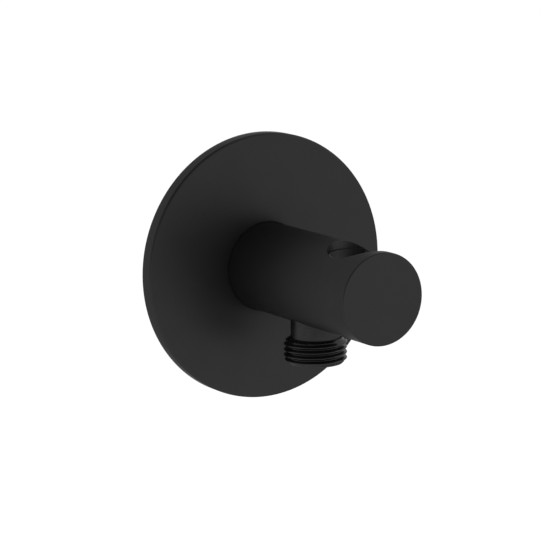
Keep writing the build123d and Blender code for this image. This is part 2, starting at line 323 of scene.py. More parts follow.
@dataclass(frozen=True, kw_only=True)
class ThreadCoat(Finish):
    """Thinner black coat on the machined hose nipple, smooth on the thread and matt on the neck and the lead-in."""

    shades: tuple[Triple, Triple] = COAT_SHADES
    shades_follow_grain: bool = True
    roughness: float = 0.2
    roughness_change: float = 0.04
    cloud: float = 2.5 * MM
    grain: float = 0.12 * MM
    grain_height: float = 0.0015 * MM
    grain_along: Triple | None = (0.05, 0.05, 1)
    metallic: float = 0.85
    specular: float = 0.35
    glancing_gloss: float = 0.58
    matt_glancing_gloss: float = 0.43
    matt_roughness: float = 0.36
    thread_middle: float = -22.4 * MM
    thread_half: float = 3.4 * MM
    thread_margin: float = 0.2 * MM

    def gloss(self, nodes: FinishNodes, roughness: Socket) -> dict[str | int, object]:
        """Roughness and glancing gloss, which change from the thread to the neck and the lead-in by their heights.

        Args:
            nodes: the material's nodes.
            roughness: the thread's roughness.

        Returns:
            The shader's inputs.
        """
        height = nodes.add("SeparateXYZ", {"Vector": nodes.place}).outputs["Z"]
        away = nodes.combine("ABSOLUTE", nodes.combine("SUBTRACT", height, self.thread_middle))
        matt = nodes.ramp(
            away, 0.0, 1.0, self.thread_half - self.thread_margin, self.thread_half + self.thread_margin
        )
        rise = nodes.combine("MULTIPLY", matt, self.matt_roughness - self.roughness)
        return {
            "Roughness": nodes.combine("ADD", rise, roughness),
            "Specular Tint": nodes.blend(matt, (self.glancing_gloss,) * 3, (self.matt_glancing_gloss,) * 3),
        }


@dataclass(frozen=True, kw_only=True)
class TurnedMetal(Finish):
    """Bare metal from the lathe or the drawing die, with tool marks and a slight tarnish."""

    roughness_change: float = 0.07
    cloud: float = 3 * MM
    cloud_detail: float = 4.0
    grain_along: Triple | None = (0.04, 1, 0.04)
    metallic: float = 1.0


@dataclass(frozen=True, kw_only=True)
class MouldedPlastic(Finish):
    """Moulded plastic with a fine eroded texture."""

    roughness_change: float = 0.05
    cloud: float = 4 * MM
    grain: float = 0.12 * MM
    grain_height: float = 0.0015 * MM
    grain_detail: float = 3.0
    specular: float = 0.4


@dataclass(frozen=True, kw_only=True)
class Rubber(Finish):
    """Black rubber with a faint bloom."""

    shades: tuple[Triple, Triple] = ((0.014,) * 3, (0.024,) * 3)
    roughness: float = 0.55
    roughness_change: float = 0.08
    cloud: float = 2 * MM
    cloud_detail: float = 4.0
    grain: float = 0.25 * MM
    grain_height: float = 0.006 * MM


@dataclass(frozen=True, kw_only=True)
class SpongeRubber(Rubber):
    """Black rubber with the open cells of a sponge."""

    shades: tuple[Triple, Triple] = ((0.011,) * 3, (0.02,) * 3)
    roughness: float = 0.8
    grain: float = 0.55 * MM
    grain_height: float = 0.12 * MM

    def relief(self, nodes: FinishNodes, under: Socket | None = None) -> tuple[Socket, Socket]:
        """Height and normal of the cells."""
        cells = nodes.add("TexVoronoi", {"Scale": 1 / self.grain, "Vector": nodes.place}).outputs["Distance"]
        return cells, nodes.bump(cells, self.grain_height, under)


def mottled(colour: Triple) -> tuple[Triple, Triple]:
    """A slightly darker and a slightly lighter shade of a colour."""
    return tuple(tuple(part * share for part in colour) for share in (0.92, 1.08))


FINISHES = {
    Slot.BLACK_COAT: PowderCoat(),
    Slot.BLACK_THREAD: ThreadCoat(),
    Slot.BARE_BRASS: TurnedMetal(
        shades=((0.66, 0.45, 0.17), (0.5, 0.32, 0.12)), roughness=0.3, grain=0.11 * MM, grain_height=0.003 * MM
    ),
    Slot.SCREW_STEEL: TurnedMetal(
        shades=((0.055, 0.052, 0.05), (0.03, 0.029, 0.03)), roughness=0.36, grain=0.1 * MM, grain_height=0.002 * MM,
        grain_along=(0.1, 0.1, 1), metallic=0.9,
    ),
    Slot.SPRING_STEEL: TurnedMetal(
        shades=((0.58, 0.57, 0.55), (0.42, 0.41, 0.4)), roughness=0.24, grain=0.05 * MM, grain_height=0.001 * MM
    ),
    Slot.LINER_PLASTIC: MouldedPlastic(
        shades=mottled((0.004, 0.004, 0.004)), roughness=0.5, grain_height=0.003 * MM, specular=0.28
    ),
    Slot.VALVE_PLASTIC: MouldedPlastic(shades=mottled((0.62, 0.61, 0.57)), roughness=0.38),
    Slot.POPPET_PLASTIC: MouldedPlastic(shades=mottled((0.03, 0.1, 0.25)), roughness=0.36),
    Slot.SEAL_RUBBER: Rubber(),
    Slot.SPONGE_RUBBER: SpongeRubber(),
}


class Paint:
    """Makes each finish's material once and puts it on pieces."""

    def __init__(self) -> None:
        """Makes the materials of all the finishes."""
        self.materials = {slot: finish.material(f"{slot.value}_finish") for slot, finish in FINISHES.items()}

    def dress(self, piece: bpy.types.Object, slot: Slot) -> None:
        """Gives a piece its finish, in the place of any that it has."""
        piece.data.materials.clear()
        piece.data.materials.append(self.materials[slot])


def groove(radius: float, floor: float, start: float, end: float) -> Outline:
    """Corners of a square groove, from the height where its first wall stands to that of its last one."""
    return [(radius, start), (floor, start), (floor, end), (radius, end)]


def round_corners(corners: Outline, steps: int = 4) -> Outline:
    """Points of an open outline, with an arc at each rounded corner.

    Args:
        corners: the outline's corners in order. The first and the last aren't rounded.
        steps: straight pieces in each arc.

    Returns:
        The points, each a radius and a height.
    """
    points = [corners[0][:2]]
    for before, corner, after in zip(corners, corners[1:], corners[2:]):
        here = Vector(corner[:2])
        if len(corner) < 3:
            points.append((here.x, here.y))
            continue
        back = (Vector(before[:2]) - here).normalized()
        ahead = (Vector(after[:2]) - here).normalized()
        half = back.angle(ahead) / 2
        centre = here + (back + ahead).normalized() * (corner[2] / math.sin(half))
        start = here + back * (corner[2] / math.tan(half)) - centre
        turn = start.angle_signed(here + ahead * (corner[2] / math.tan(half)) - centre)
        for step in range(steps + 1):
            arm = start.copy()
            arm.rotate(Matrix.Rotation(-turn * step / steps, 2))
            points.append((centre.x + arm.x, centre.y + arm.y))
    return points + [corners[-1][:2]]


@dataclass(frozen=True)
class ThreadForm:
    """Form of a thread with round crests and roots.

    The depth and the rounding are shares of the pitch, and the flanks lean by an angle from a plane across the axis.
    """

    pitch: float
    depth: float
    rounding: float
    flank_degrees: float
    rows_per_turn: int


PIPE_THREAD = ThreadForm(pitch=25.4 * MM / 14, depth=0.6403, rounding=0.1373, flank_degrees=27.5, rows_per_turn=24)
SCREW_THREAD = ThreadForm(pitch=0.8 * MM, depth=0.61, rounding=0.08, flank_degrees=30, rows_per_turn=16)


@dataclass(frozen=True)
class Helix:
    """Right-handed thread on an outside surface, held inside its blank: corners of height and radius, lowest first.

    The crest height is that of a crest's middle at the angle 0.
    """

    form: ThreadForm
    crest_radius: float
    crest_height: float
    blank: tuple[tuple[float, float], ...]

    def profile(self, travel: float) -> float:
        """Radius of the endless thread.

        Args:
            travel: distance along the axis from a crest's middle.

        Returns:
            The radius there.
        """
        pitch = self.form.pitch
        depth = self.form.depth * pitch
        rounding = self.form.rounding * pitch
        lean = math.radians(self.form.flank_degrees)
        away = abs((travel / pitch + 0.5) % 1 - 0.5) * pitch
        reach = rounding * math.cos(lean)
        if away < reach:
            return self.crest_radius - rounding + math.sqrt(rounding ** 2 - away ** 2)
        rest = pitch / 2 - away
        if rest < reach:
            return self.crest_radius - depth + rounding - math.sqrt(rounding ** 2 - rest ** 2)
        share = (away - reach) / (pitch / 2 - 2 * reach)
        shoulder = rounding * (1 - math.sin(lean))
        return self.crest_radius - shoulder - share * (depth - 2 * shoulder)

    def limit(self, height: float) -> float:
        """Radius of the blank.

        Args:
            height: height on the axis.

        Returns:
            The blank's radius there, from its outline's corners.
        """
        for (low, low_radius), (high, high_radius) in zip(self.blank, self.blank[1:]):
            if height <= high:
                share = (height - low) / (high - low)
                return low_radius + share * (high_radius - low_radius)
        return self.blank[-1][1]

    def radius(self, height: float, turn: float) -> float:
        """Radius of the threaded surface at a height, and at an angle in turns."""
        travel = height - self.crest_height - self.form.pitch * turn
        return min(self.profile(travel), self.limit(height))


def hexagon(width: float) -> Callable[[float], float]:
    """Radius of a six-sided socket of a width across its flats, as a function of the angle in turns."""
    return lambda turn: width / 2 / math.cos(((turn * 6) % 1 - 0.5) * math.tau / 6)


class RingMesh:
    """Mesh of rings about a local z axis, each joined to the one before it."""

    def __init__(self, segments: int) -> None:
        """Starts an empty mesh.

        Args:
            segments: points in each ring. A ring with a six-sided form needs a multiple of 6.
        """
        self.segments = segments
        self.turns = [index / segments for index in range(segments)]
        self.mesh = bmesh.new()
        self.first: list[bmesh.types.BMVert] | None = None
        self.last: list[bmesh.types.BMVert] | None = None

    def point(self, radius: float, turn: float, height: float) -> bmesh.types.BMVert:
        """Adds a point at a radius, an angle in turns and a height."""
        angle = turn * math.tau
        return self.mesh.verts.new((radius * math.cos(angle), radius * math.sin(angle), height))

    def join(self, ring: list[bmesh.types.BMVert]) -> None:
        """Joins a ring to the last one and makes it the last.

        Args:
            ring: the ring's points.
        """
        if self.last is not None:
            for index in range(self.segments):
                after = (index + 1) % self.segments
                self.mesh.faces.new((self.last[index], self.last[after], ring[after], ring[index]))
        else:
            self.first = ring
        self.last = ring

    def ring(self, radius: float | Callable[[float], float], height: float) -> None:
        """Adds a ring of a radius, or of a radius that a function gives for an angle in turns."""
        self.join([self.point(radius(turn) if callable(radius) else radius, turn, height) for turn in self.turns])

    def outline(self, corners: Outline, steps: int = 4) -> None:
        """Adds the rings of an outline, with a number of straight pieces in each rounded corner."""
        for radius, height in round_corners(corners, steps):
            self.ring(radius, height)

    def socket(self, width: float, chamfer: float, foot: float, mouth: float, floor: float) -> None:
        """Adds the rings of a six-sided key socket with a chamfered mouth.

        Args:
            width: distance across the flats.
            chamfer: how far the mouth's round edge lies outside the corners.
            foot: height of the mouth's edge.
            mouth: height of the chamfer.
            floor: height where the socket ends.
        """
        self.ring(width / math.sqrt(3) + chamfer, foot)
        self.ring(hexagon(width), foot + mouth)
        self.ring(hexagon(width), floor)

    def thread(self, helix: Helix, start: float, end: float) -> None:
        """Adds a threaded stretch, with rows of faces that follow the helix.

        Rows past an end are held on it, and closing the mesh merges them into the end's ring.

        Args:
            helix: the thread.
            start: height where the stretch meets the last ring.
            end: height where the next ring goes on.
        """
        low, high = min(start, end), max(start, end)
        pitch, per_turn = helix.form.pitch, helix.form.rows_per_turn
        step = pitch / per_turn
        rows = math.ceil((high - low + pitch) / step) + per_turn
        self.ring(lambda turn: helix.radius(start, turn), start)
        grid = []
        for row in range(rows + 1):
            heights = [min(max(low - pitch + row * step + pitch * turn, low), high) for turn in self.turns]
            grid.append([
                self.point(helix.radius(height, turn), turn, height) for height, turn in zip(heights, self.turns)
            ])
        for row, above in zip(grid, grid[1:]):
            for column in range(self.segments - 1):
                self.mesh.faces.new((row[column], row[column + 1], above[column + 1], above[column]))
        for row in range(rows - per_turn):
            across = row + per_turn
            self.mesh.faces.new((grid[row][-1], grid[across][0], grid[across + 1][0], grid[row + 1][-1]))
        self.last = [self.point(helix.radius(end, turn), turn, end) for turn in self.turns]

    def close(self, name: str, place: Matrix) -> bpy.types.Object:
        """Joins the last ring to the first, and makes the object with its mesh moved to its place."""
        self.join(self.first)
        return solid(self.mesh, name, place)


def solid(mesh: bmesh.types.BMesh, name: str, place: Matrix | None = None) -> bpy.types.Object:
    """Object from a closed mesh, with merged points, outward faces and smooth shading.

    Args:
        mesh: the mesh, which is freed.
        name: name of the object and its data.
        place: matrix to apply to the points.

    Returns:
        The new object.
    """
    sharp_angle = math.radians(32)
    if place is not None:
        mesh.transform(place)
    bmesh.ops.remove_doubles(mesh, verts=mesh.verts, dist=MERGE_DISTANCE)
    bmesh.ops.dissolve_degenerate(mesh, edges=mesh.edges, dist=MERGE_DISTANCE)
    bmesh.ops.recalc_face_normals(mesh, faces=mesh.faces)
    for face in mesh.faces:
        face.smooth = True
    for edge in mesh.edges:
        edge.smooth = len(edge.link_faces) == 2 and edge.calc_face_angle() < sharp_angle
    data = bpy.data.meshes.new(name)
    mesh.to_mesh(data)
    mesh.free()
    piece = bpy.data.objects.new(name, data)
    bpy.context.scene.collection.objects.link(piece)
    return piece


@dataclass(frozen=True)
class RoundSkin:
    """Cylinder or cone that faces of a piece lie on."""

    foot: Vector
    axis: Vector
    radius: float
    growth: float = 0.0

    def across(self, point: Vector) -> Vector:
        """Way from the axis to a point, square to the axis."""
        away = point - self.foot
        return away - self.axis * away.dot(self.axis)

    def holds(self, point: Vector, reach: float) -> bool:
        """Whether a point lies on the skin, or within a reach of it."""
        along = (point - self.foot).dot(self.axis)
        return abs(self.across(point).length - self.radius - self.growth * along) < reach

    def normal(self, point: Vector) -> Vector:
        """Unit normal at a point, away from the axis."""
        return (self.across(point).normalized() - self.axis * self.growth).normalized()


def true_normals(piece: bpy.types.Object, skins: Sequence[RoundSkin]) -> None:
    """Gives the faces on round skins and flats their exact normals.

    The narrow rounds between them take the same normals at their ends.

    Args:
        piece: the object.
        skins: its round skins.
    """
    reach = 0.04 * MM
    least_facing = math.cos(math.radians(5))
    least_flat = 1.5 * MM * MM
    least_shared = 0.7
    data = piece.data
    points = [vertex.co for vertex in data.vertices]
    normals = [Vector((0, 0, 0))] * len(data.loops)
    ends: dict[int, Vector] = {}
    rest = []
    for polygon in data.polygons:
        skin = next((
            skin for skin in skins
            if abs(skin.normal(polygon.center).dot(polygon.normal)) > least_facing
            and all(skin.holds(points[index], reach) for index in polygon.vertices)
        ), None)
        if skin is None and polygon.area < least_flat:
            rest.append(polygon)
            continue
        for loop, index in zip(polygon.loop_indices, polygon.vertices):
            if skin is None:
                normals[loop] = polygon.normal.copy()
            else:
                outward = skin.normal(points[index])
                normals[loop] = outward if outward.dot(polygon.normal) > 0 else -outward
            ends.setdefault(index, normals[loop])
    for polygon in rest:
        for loop, index in zip(polygon.loop_indices, polygon.vertices):
            if index in ends and ends[index].dot(polygon.normal) > least_shared:
                normals[loop] = ends[index]
    data.normals_split_custom_set(normals)


def cad_copy(node: str) -> bmesh.types.BMesh:
    """Copy of a CAD node's mesh, its flat neighbours merged into larger faces.

    Args:
        node: name of the node.

    Returns:
        The copy.
    """
    flat = math.radians(0.6)
    mesh = bmesh.new()
    mesh.from_mesh(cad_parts[node].data)
    bmesh.ops.remove_doubles(mesh, verts=mesh.verts, dist=MERGE_DISTANCE)
    bmesh.ops.dissolve_limit(
        mesh, angle_limit=flat, verts=mesh.verts, edges=mesh.edges, use_dissolve_boundaries=False
    )
    return mesh


def break_edges(mesh: bmesh.types.BMesh, width: float) -> None:
    """Breaks a mesh's sharp edges with a small round.

    Args:
        mesh: the mesh.
        width: width of the round.
    """
    limit = math.radians(40)
    edges = [edge for edge in mesh.edges if len(edge.link_faces) == 2 and edge.calc_face_angle() > limit]
    bmesh.ops.bevel(
        mesh, geom=edges, offset=width, offset_type="OFFSET", segments=3, profile=0.5, affect="EDGES",
        clamp_overlap=True,
    )


@dataclass
class SubAssembly:
    """Group of pieces, with the book-keeping that all share: their body, finishes and nodes."""

    paint: Paint

    def seat(self, piece: bpy.types.Object, node: str, slot: Slot) -> None:
        """Dresses a built piece and puts it in the place of a CAD node.

        Args:
            piece: the built object.
            node: name of the node it replaces.
            slot: its finish.
        """
        self.paint.dress(piece, slot)
        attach(piece, FITTING)
        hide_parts(node)
        log.info("%s built for %s, %d faces", piece.name, node, len(piece.data.polygons))

    def keep(self, node: str, slot: Slot) -> None:
        """Dresses a CAD node whose shape stays."""
        self.paint.dress(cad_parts[node], slot)
        log.info("%s kept and dressed", node)


@dataclass
class WallRose(SubAssembly):
    """Round flange with its hollow back, the sponge ring behind it and the ring in its bore."""

    radius: float = 45 * MM
    thickness: float = 5 * MM
    edge_radius: float = 0.8 * MM
    recess_depth: float = 3 * MM
    recess_radius: float = 42 * MM
    bore_radius: float = 15.1 * MM
    collar_radius: float = 19.1 * MM
    collar_set_back: float = 0.5 * MM
    ring_station: float = 2.6 * MM
    ring_width: float = 1.8 * MM
    ring_depth: float = 1.1 * MM
    ring_gap: float = 0.03 * MM
    ring_squeeze: float = 0.01 * MM
    ring_round: float = 0.45 * MM
    arm_radius: float = 15 * MM
    seal_gap: float = 0.1 * MM
    seal_width: float = 5 * MM
    seal_round: float = 0.7 * MM
    edge_break: float = 0.15 * MM
    segments: int = 256

    def flange(self) -> None:
        """Builds the turned disc, from its back rim over the front to the bore and the recess."""
        ring_near = self.ring_station - self.ring_width / 2
        ring_far = self.ring_station + self.ring_width / 2
        rings = RingMesh(self.segments)
        middle = (self.recess_radius + self.radius) / 2
        edge = self.edge_break
        rings.outline([
            (middle, 0),
            (self.radius, 0, edge),
            (self.radius, self.thickness, self.edge_radius),
            (self.bore_radius, self.thickness, edge),
            *groove(self.bore_radius, self.bore_radius + self.ring_depth, ring_far, ring_near),
            (self.bore_radius, self.collar_set_back, edge),
            (self.collar_radius, self.collar_set_back, edge),
            (self.collar_radius, self.recess_depth, 2 * edge),
            (self.recess_radius, self.recess_depth, 2 * edge),
            (self.recess_radius, 0, edge),
            (middle, 0),
        ], steps=6)
        self.seat(rings.close("flange_disc", Stand.OUT_OF_WALL.place()), "wall_flange", Slot.BLACK_COAT)

    def seal(self) -> None:
        """Builds the sponge ring, with edges that the wall has pressed round."""
        outer = self.recess_radius - self.seal_gap
        inner = outer - self.seal_width
        middle = (inner + outer) / 2
        high = self.recess_depth
        path = [(middle, 0), (outer, 0), (outer, high), (inner, high), (inner, 0), (middle, 0)]
        self.seat(self.soft_ring("sponge_ring", path, self.seal_round, 5), "flange_seal", Slot.SPONGE_RUBBER)

    def grip(self) -> None:
        """Builds the rubber ring in the bore, squeezed on the arm so that no light comes through."""
        inner = self.arm_radius - self.ring_squeeze
        outer = self.bore_radius + self.ring_depth - self.ring_gap
        low = self.ring_station - self.ring_width / 2 + self.ring_gap
        high = self.ring_station + self.ring_width / 2 - self.ring_gap
        middle = self.ring_station
        path = [(inner, middle), (inner, high), (outer, high), (outer, low), (inner, low), (inner, middle)]
        self.seat(self.soft_ring("bore_ring", path, self.ring_round, 6), "flange_o_ring", Slot.SEAL_RUBBER)

    def soft_ring(self, name: str, path: Outline, rounding: float, steps: int) -> bpy.types.Object:
        """Ring with a closed outline whose corners are all rounded, except where it starts and ends.

        Args:
            name: name of the object.
            path: the outline's corners, each a radius and a height.
            rounding: radius of the rounded corners.
            steps: straight pieces in each of them.

        Returns:
            The new object.
        """
        rings = RingMesh(self.segments)
        rings.outline([(*corner, rounding) for corner in path], steps)
        return rings.close(name, Stand.OUT_OF_WALL.place())

    def build(self) -> None:
        """Builds and dresses the pieces."""
        self.flange()
        self.seal()
        self.grip()


@dataclass
class Arm(SubAssembly):
    """Round bar with the holder hole, its liner, and the set screw under it."""

    radius: float = 15 * MM
    reach: float = 75 * MM
    front_round: float = 0.4 * MM
    edge_break: float = 0.14 * MM
    liner_edge_break: float = 0.18 * MM
    hole_place: Triple = (2.6 * MM, -60 * MM, 0)
    hole_radius: float = 11.6 * MM
    ledge_radius: float = 10.4 * MM
    liner_radius: float = 11.55 * MM
    liner_foot: float = -11.5 * MM
    liner_foot_radius: float = 9.8 * MM
    liner_top: float = 12 * MM
    liner_top_radius: float = 10.8 * MM
    screw_station: float = 10.5 * MM
    screw_radius: float = 2.5 * MM
    screw_foot: float = -14 * MM
    screw_point_radius: float = 0.8 * MM
    screw_key: float = 2.5 * MM
    screw_key_depth: float = 2.2 * MM
    screw_key_chamfer: float = 0.05 * MM
    screw_key_mouth: float = 0.2 * MM
    screw_drill_point: float = 0.5 * MM
    screw_lead_in: float = 0.45 * MM
    screw_segments: int = 96

    def bar(self) -> None:
        """Builds the bar, with broken edges and the exact normals of its skin and of the holder hole."""
        mesh = cad_copy("arm_body")
        self.round_front(mesh)
        break_edges(mesh, self.edge_break)
        bar = solid(mesh, "arm_bar")
        up = Vector((0, 0, 1))
        hole = Vector(self.hole_place)
        true_normals(bar, [
            RoundSkin(Vector((0, 0, 0)), Vector((0, -1, 0)), self.radius),
            RoundSkin(hole, up, self.hole_radius),
            RoundSkin(hole, up, self.ledge_radius),
        ])
        self.seat(bar, "arm_body", Slot.BLACK_COAT)

    def round_front(self, mesh: bmesh.types.BMesh) -> None:
        """Puts a finely stepped round in the place of the CAD mesh's coarse one at the front edge.

        Its rings are added one by one, so that the faces have the same order in every run.

        Args:
            mesh: copy of the bar's CAD mesh.
        """
        steps = 8
        centre = self.front_round - self.reach
        bmesh.ops.bisect_plane(
            mesh, geom=mesh.verts[:] + mesh.edges[:] + mesh.faces[:], dist=MERGE_DISTANCE,
            plane_co=(0, centre, 0), plane_no=(0, -1, 0), clear_outer=True,
        )
        loops = [edge.link_loops[0] for edge in mesh.edges if edge.is_boundary]
        rim = [(loop.link_loop_next.vert, loop.vert) for loop in loops]
        for step in range(1, steps + 1):
            turn = math.radians(90) * step / steps
            radius = self.radius - self.front_round * (1 - math.cos(turn))
            ahead = {}
            for point, _ in rim:
                share = radius / math.hypot(point.co.x, point.co.z)
                ahead[point] = mesh.verts.new(
                    (point.co.x * share, centre - self.front_round * math.sin(turn), point.co.z * share)
                )
            for start, end in rim:
                mesh.faces.new((start, end, ahead[end], ahead[start]))
            rim = [(ahead[start], ahead[end]) for start, end in rim]
        bmesh.ops.contextual_create(mesh, geom=[edge for edge in mesh.edges if edge.is_boundary])

    def liner(self) -> None:
        """Builds the hole's liner, with broken edges and the exact normals of its tapered bore."""
        mesh = cad_copy("holder_liner")
        break_edges(mesh, self.liner_edge_break)
        liner = solid(mesh, "hole_liner")
        up = Vector((0, 0, 1))
        hole = Vector(self.hole_place)
        growth = (self.liner_top_radius - self.liner_foot_radius) / (self.liner_top - self.liner_foot)
        true_normals(liner, [
            RoundSkin(hole + up * self.liner_foot, up, self.liner_foot_radius, growth),
            RoundSkin(hole, up, self.liner_radius),
        ])
        self.seat(liner, "holder_liner", Slot.LINER_PLASTIC)

    def screw(self) -> None:
        """Builds the set screw: cone point, thread and a six-sided socket with a chamfered mouth."""
        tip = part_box("locking_screw")[1][2]
        cone_foot = tip - (self.screw_radius - self.screw_point_radius)
        foot = self.screw_foot
        helix = Helix(SCREW_THREAD, self.screw_radius, foot, (
            (foot, self.screw_radius - self.screw_lead_in),
            (foot + self.screw_lead_in, self.screw_radius),
            (cone_foot, self.screw_radius),
            (tip, self.screw_point_radius),
        ))
        floor = foot + self.screw_key_depth
        rings = RingMesh(self.screw_segments)
        rings.ring(0, tip)
        rings.thread(helix, tip, foot)
        rings.socket(self.screw_key, self.screw_key_chamfer, foot, self.screw_key_mouth, floor)
        rings.ring(0, floor + self.screw_drill_point)
        screw = solid(rings.mesh, "set_screw", Stand.UPRIGHT.place(self.screw_station))
        self.seat(screw, "locking_screw", Slot.SCREW_STEEL)

    def build(self) -> None:
        """Builds and dresses the pieces."""
        self.bar()
        self.liner()
        self.screw()


@dataclass
class HoseNipple(SubAssembly):
    """Neck under the arm with the hose thread, a key socket and the water bore."""

    station: float = 35.15 * MM
    spigot_top: float = -6 * MM
    spigot_radius: float = 6 * MM
    ring_set_back: float = 0.9 * MM
    ring_width: float = 1.7 * MM
    ring_depth: float = 1 * MM
    shoulder: float = -9.5 * MM
    neck_radius: float = 8.1 * MM
    thread_top: float = -18.9 * MM
    thread_full_top: float = -20.05 * MM
    thread_shoulder: float = 0.45 * MM
    thread_end: float = -27.4 * MM
    thread_lead_in: float = 1.5 * MM
    crest_radius: float = 10.4 * MM
    crest_height_ahead: float = -22.9 * MM
    crest_angle: float = 148.7
    bore_radius: float = 4 * MM
    key_width: float = 10 * MM
    key_depth: float = 8 * MM
    key_chamfer: float = 0.5 * MM
    key_mouth: float = 0.8 * MM
    edge_break: float = 0.15 * MM
    segments: int = 192

    def nipple(self) -> None:
        """Builds the turned and threaded nipple."""
        ring_top = self.spigot_top - self.ring_set_back
        ring_bottom = ring_top - self.ring_width
        crest_height = self.crest_height_ahead - PIPE_THREAD.pitch * self.crest_angle / 360
        helix = Helix(PIPE_THREAD, self.crest_radius, crest_height, (
            (self.thread_end, self.crest_radius - self.thread_lead_in),
            (self.thread_end + self.thread_lead_in, self.crest_radius),
            (self.thread_full_top, self.crest_radius),
            (self.thread_top, self.neck_radius + self.thread_shoulder),
        ))
        rings = RingMesh(self.segments)
        rings.outline([
            (self.bore_radius, self.spigot_top),
            (self.spigot_radius, self.spigot_top, self.edge_break),
            *groove(self.spigot_radius, self.spigot_radius - self.ring_depth, ring_top, ring_bottom),
            (self.spigot_radius, self.shoulder),
            (self.neck_radius, self.shoulder, self.edge_break),
            (self.neck_radius, self.thread_top),
        ])
        rings.thread(helix, self.thread_top, self.thread_end)
        floor = self.thread_end + self.key_depth
        rings.socket(self.key_width, self.key_chamfer, self.thread_end, self.key_mouth, floor)
        rings.ring(self.bore_radius + self.edge_break, floor)
        rings.ring(self.bore_radius, floor + self.edge_break)
        nipple = rings.close("hose_nipple", Stand.UPRIGHT.place(self.station))
        self.seat(nipple, "outlet_nipple", Slot.BLACK_THREAD)

    def build(self) -> None:
        """Builds and dresses the pieces."""
        self.nipple()
        self.keep("outlet_o_ring", Slot.SEAL_RUBBER)


@dataclass
class WallNipple(SubAssembly):
    """Brass nipple: thread in the wall, key socket, and the spigot that carries the arm."""

    crest_radius: float = 10.4 * MM
    core_radius: float = 9.3 * MM
    thread_end: float = -14 * MM
    thread_lead_in: float = 0.9 * MM
    thread_front: float = 0.5 * MM
    run_out: float = 0.8 * MM
    relief_front: float = 1.5 * MM
    spigot_radius: float = 10 * MM
    spigot_end: float = 21.4 * MM
    spigot_chamfer: float = 0.6 * MM
    lock_station: float = 10.5 * MM
    lock_depth: float = 1.2 * MM
    lock_floor: float = 1 * MM
    ring_stations: tuple[float, float] = (14.8 * MM, 19 * MM)
    ring_width: float = 2.3 * MM
    ring_depth: float = 1.35 * MM
    bore_radius: float = 7.55 * MM
    bore_start: float = 3 * MM
    key_width: float = 12 * MM
    key_chamfer: float = 0.4 * MM
    key_mouth: float = 0.8 * MM
    segments: int = 192

    def nipple(self) -> None:
        """Builds the turned and threaded nipple."""
        floor_half = self.lock_floor / 2
        mouth_half = floor_half + self.lock_depth
        lock_radius = self.spigot_radius - self.lock_depth
        outline = [
            (self.bore_radius, self.spigot_end),
            (self.spigot_radius - self.spigot_chamfer, self.spigot_end),
            (self.spigot_radius, self.spigot_end - self.spigot_chamfer),
        ]
        for station in reversed(self.ring_stations):
            far, near = station + self.ring_width / 2, station - self.ring_width / 2
            outline += groove(self.spigot_radius, self.spigot_radius - self.ring_depth, far, near)
        outline += [
            (self.spigot_radius, self.lock_station + mouth_half),
            (lock_radius, self.lock_station + floor_half),
            (lock_radius, self.lock_station - floor_half),
            (self.spigot_radius, self.lock_station - mouth_half),
            (self.spigot_radius, self.relief_front),
            (self.core_radius, self.relief_front),
            (self.core_radius, self.thread_front),
        ]
        helix = Helix(PIPE_THREAD, self.crest_radius, self.thread_end, (
            (self.thread_end, self.crest_radius - self.thread_lead_in),
            (self.thread_end + self.thread_lead_in, self.crest_radius),
            (self.thread_front - self.run_out, self.crest_radius),
            (self.thread_front, self.core_radius),
        ))
        rings = RingMesh(self.segments)
        rings.outline(outline)
        rings.thread(helix, self.thread_front, self.thread_end)
        rings.socket(self.key_width, self.key_chamfer, self.thread_end, self.key_mouth, self.bore_start)
        rings.ring(self.bore_radius, self.bore_start)
        self.seat(rings.close("wall_nipple", Stand.OUT_OF_WALL.place()), "inlet_nipple", Slot.BARE_BRASS)

    def build(self) -> None:
        """Builds and dresses the pieces."""
        self.nipple()
        self.keep("inlet_o_ring_outer", Slot.SEAL_RUBBER)
        self.keep("inlet_o_ring_inner", Slot.SEAL_RUBBER)


